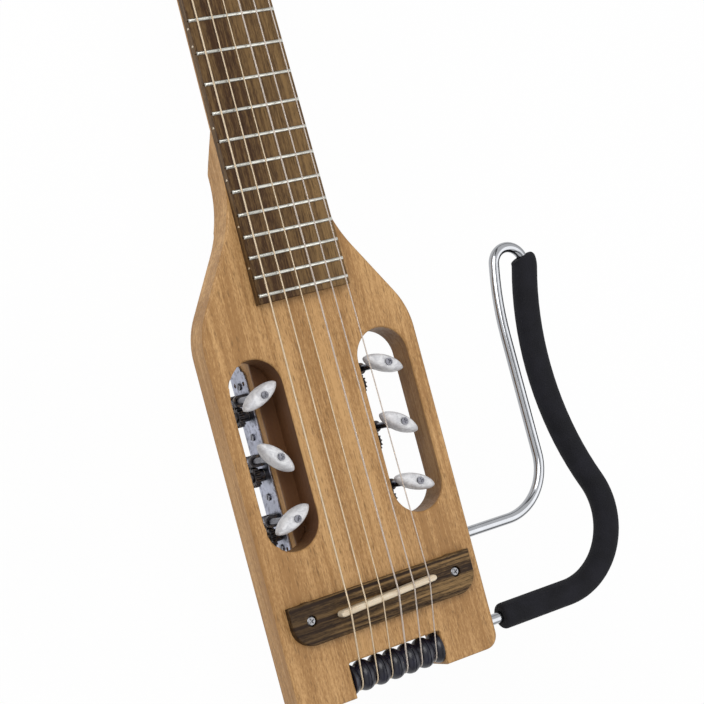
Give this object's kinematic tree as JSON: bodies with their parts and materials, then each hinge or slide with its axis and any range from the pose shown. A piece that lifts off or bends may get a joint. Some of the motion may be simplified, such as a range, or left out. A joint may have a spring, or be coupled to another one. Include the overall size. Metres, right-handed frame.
{
  "type": "travel guitar",
  "caption": "Headless travel guitar, slim one-piece neck and body, geared tuners worked through slots beside the bridge, strings turned round rollers at the tail, lift-off looped lap rest.",
  "frame": {"origin": "on the flat back of the tuner block, on the centre line under the scale end at the saddle", "axes": "+X to the treble side, +Y along the neck to the head, +Z out of the face, towards the strings"},
  "size_m": [0.2437, 0.725, 0.0557],
  "materials": {
    "wood": "satin tan wood",
    "dark_wood": "satin dark streaky wood",
    "fret_metal": "polished nickel silver",
    "bone": "cream bone",
    "steel": "plain steel",
    "black_metal": "black satin metal",
    "brass": "bare brass",
    "nickel": "bright nickel plate",
    "dark_metal": "dark aged metal",
    "pearl": "pale pearl",
    "post_plastic": "off-white plastic",
    "nylon": "translucent nylon",
    "wound_string": "silver-wound nylon",
    "roller_black": "black, softly glossy",
    "chrome": "polished chrome",
    "foam": "black foam sleeve",
    "black_plastic": "black insulation"
  },
  "bodies": {
    "guitar": {"body": "wood", "neck": "wood", "tuner_block": "wood", "fretboard": "dark_wood", "frets": "fret_metal", "nut": "bone", "side_dots": "bone", "truss_rod": "steel", "string_anchor": "black_metal", "anchor_screws": "steel", "string_balls": "brass", "bridge": "dark_wood", "saddle": "bone", "bridge_screws": "nickel", "pickup": "black_plastic", "output_jack": "nickel", "strap_button": "nickel", "roller_axle": "steel", "tuner_plate_bass": "nickel", "tuner_plate_treble": "nickel", "worm_brackets": "dark_metal", "plate_screws": "steel", "string_1": "nylon", "string_2": "nylon", "string_3": "nylon", "string_4": "wound_string", "string_5": "wound_string", "string_6": "wound_string"},
    "tuner_key_1": {"worm_shaft_1": "nickel", "button_1": "pearl"},
    "post_and_gear_1": {"post_1": "post_plastic", "gear_1": "dark_metal"},
    "tail_roller_1": {"roller_1": "roller_black"},
    "tuner_key_2": {"worm_shaft_2": "nickel", "button_2": "pearl"},
    "post_and_gear_2": {"post_2": "post_plastic", "gear_2": "dark_metal"},
    "tail_roller_2": {"roller_2": "roller_black"},
    "tuner_key_3": {"worm_shaft_3": "nickel", "button_3": "pearl"},
    "post_and_gear_3": {"post_3": "post_plastic", "gear_3": "dark_metal"},
    "tail_roller_3": {"roller_3": "roller_black"},
    "tuner_key_4": {"worm_shaft_4": "nickel", "button_4": "pearl"},
    "post_and_gear_4": {"post_4": "post_plastic", "gear_4": "dark_metal"},
    "tail_roller_4": {"roller_4": "roller_black"},
    "tuner_key_5": {"worm_shaft_5": "nickel", "button_5": "pearl"},
    "post_and_gear_5": {"post_5": "post_plastic", "gear_5": "dark_metal"},
    "tail_roller_5": {"roller_5": "roller_black"},
    "tuner_key_6": {"worm_shaft_6": "nickel", "button_6": "pearl"},
    "post_and_gear_6": {"post_6": "post_plastic", "gear_6": "dark_metal"},
    "tail_roller_6": {"roller_6": "roller_black"},
    "lap_rest": {"lap_rest_rod": "chrome", "lap_rest_foam": "foam"}
  },
  "joints": [
    {"name": "key_turn_1", "type": "hinge", "parent": "guitar", "child": "tuner_key_1", "pos_m": [0.0407, 0.0535, 0.0102], "axis": [0, 0, 1], "continuous": true},
    {"name": "post_turn_1", "type": "hinge", "parent": "guitar", "child": "post_and_gear_1", "pos_m": [0.02, 0.0449, 0.0102], "axis": [1, 0, 0], "continuous": true},
    {"name": "roller_turn_1", "type": "hinge", "parent": "guitar", "child": "tail_roller_1", "pos_m": [0.025, -0.0415, 0.03725], "axis": [1, 0, 0], "continuous": true},
    {"name": "key_turn_2", "type": "hinge", "parent": "guitar", "child": "tuner_key_2", "pos_m": [0.0407, 0.0885, 0.0102], "axis": [0, 0, 1], "continuous": true},
    {"name": "post_turn_2", "type": "hinge", "parent": "guitar", "child": "post_and_gear_2", "pos_m": [0.02, 0.0799, 0.0102], "axis": [1, 0, 0], "continuous": true},
    {"name": "roller_turn_2", "type": "hinge", "parent": "guitar", "child": "tail_roller_2", "pos_m": [0.015, -0.0415, 0.03725], "axis": [1, 0, 0], "continuous": true},
    {"name": "key_turn_3", "type": "hinge", "parent": "guitar", "child": "tuner_key_3", "pos_m": [0.0407, 0.1235, 0.0102], "axis": [0, 0, 1], "continuous": true},
    {"name": "post_turn_3", "type": "hinge", "parent": "guitar", "child": "post_and_gear_3", "pos_m": [0.02, 0.1149, 0.0102], "axis": [1, 0, 0], "continuous": true},
    {"name": "roller_turn_3", "type": "hinge", "parent": "guitar", "child": "tail_roller_3", "pos_m": [0.005, -0.0415, 0.03725], "axis": [1, 0, 0], "continuous": true},
    {"name": "key_turn_4", "type": "hinge", "parent": "guitar", "child": "tuner_key_4", "pos_m": [-0.0407, 0.1235, 0.0102], "axis": [0, 0, 1], "continuous": true},
    {"name": "post_turn_4", "type": "hinge", "parent": "guitar", "child": "post_and_gear_4", "pos_m": [-0.02, 0.1149, 0.0102], "axis": [1, 0, 0], "continuous": true},
    {"name": "roller_turn_4", "type": "hinge", "parent": "guitar", "child": "tail_roller_4", "pos_m": [-0.005, -0.0415, 0.03725], "axis": [1, 0, 0], "continuous": true},
    {"name": "key_turn_5", "type": "hinge", "parent": "guitar", "child": "tuner_key_5", "pos_m": [-0.0407, 0.0885, 0.0102], "axis": [0, 0, 1], "continuous": true},
    {"name": "post_turn_5", "type": "hinge", "parent": "guitar", "child": "post_and_gear_5", "pos_m": [-0.02, 0.0799, 0.0102], "axis": [1, 0, 0], "continuous": true},
    {"name": "roller_turn_5", "type": "hinge", "parent": "guitar", "child": "tail_roller_5", "pos_m": [-0.015, -0.0415, 0.03725], "axis": [1, 0, 0], "continuous": true},
    {"name": "key_turn_6", "type": "hinge", "parent": "guitar", "child": "tuner_key_6", "pos_m": [-0.0407, 0.0535, 0.0102], "axis": [0, 0, 1], "continuous": true},
    {"name": "post_turn_6", "type": "hinge", "parent": "guitar", "child": "post_and_gear_6", "pos_m": [-0.02, 0.0449, 0.0102], "axis": [1, 0, 0], "continuous": true},
    {"name": "roller_turn_6", "type": "hinge", "parent": "guitar", "child": "tail_roller_6", "pos_m": [-0.025, -0.0415, 0.03725], "axis": [1, 0, 0], "continuous": true},
    {"name": "lap_rest_pull", "type": "slide", "parent": "guitar", "child": "lap_rest", "axis": [1, 0, 0], "range_m": [0, 0.04]}
  ],
  "couplings": [
    {"joint": "post_turn_1", "follows": "key_turn_1", "ratio": -0.071429},
    {"joint": "roller_turn_1", "follows": "key_turn_1", "ratio": 0.057892},
    {"joint": "post_turn_2", "follows": "key_turn_2", "ratio": -0.071429},
    {"joint": "roller_turn_2", "follows": "key_turn_2", "ratio": 0.057991},
    {"joint": "post_turn_3", "follows": "key_turn_3", "ratio": -0.071429},
    {"joint": "roller_turn_3", "follows": "key_turn_3", "ratio": 0.058163},
    {"joint": "post_turn_4", "follows": "key_turn_4", "ratio": -0.071429},
    {"joint": "roller_turn_4", "follows": "key_turn_4", "ratio": 0.057932},
    {"joint": "post_turn_5", "follows": "key_turn_5", "ratio": -0.071429},
    {"joint": "roller_turn_5", "follows": "key_turn_5", "ratio": 0.058068},
    {"joint": "post_turn_6", "follows": "key_turn_6", "ratio": -0.071429},
    {"joint": "roller_turn_6", "follows": "key_turn_6", "ratio": 0.058239}
  ]
}
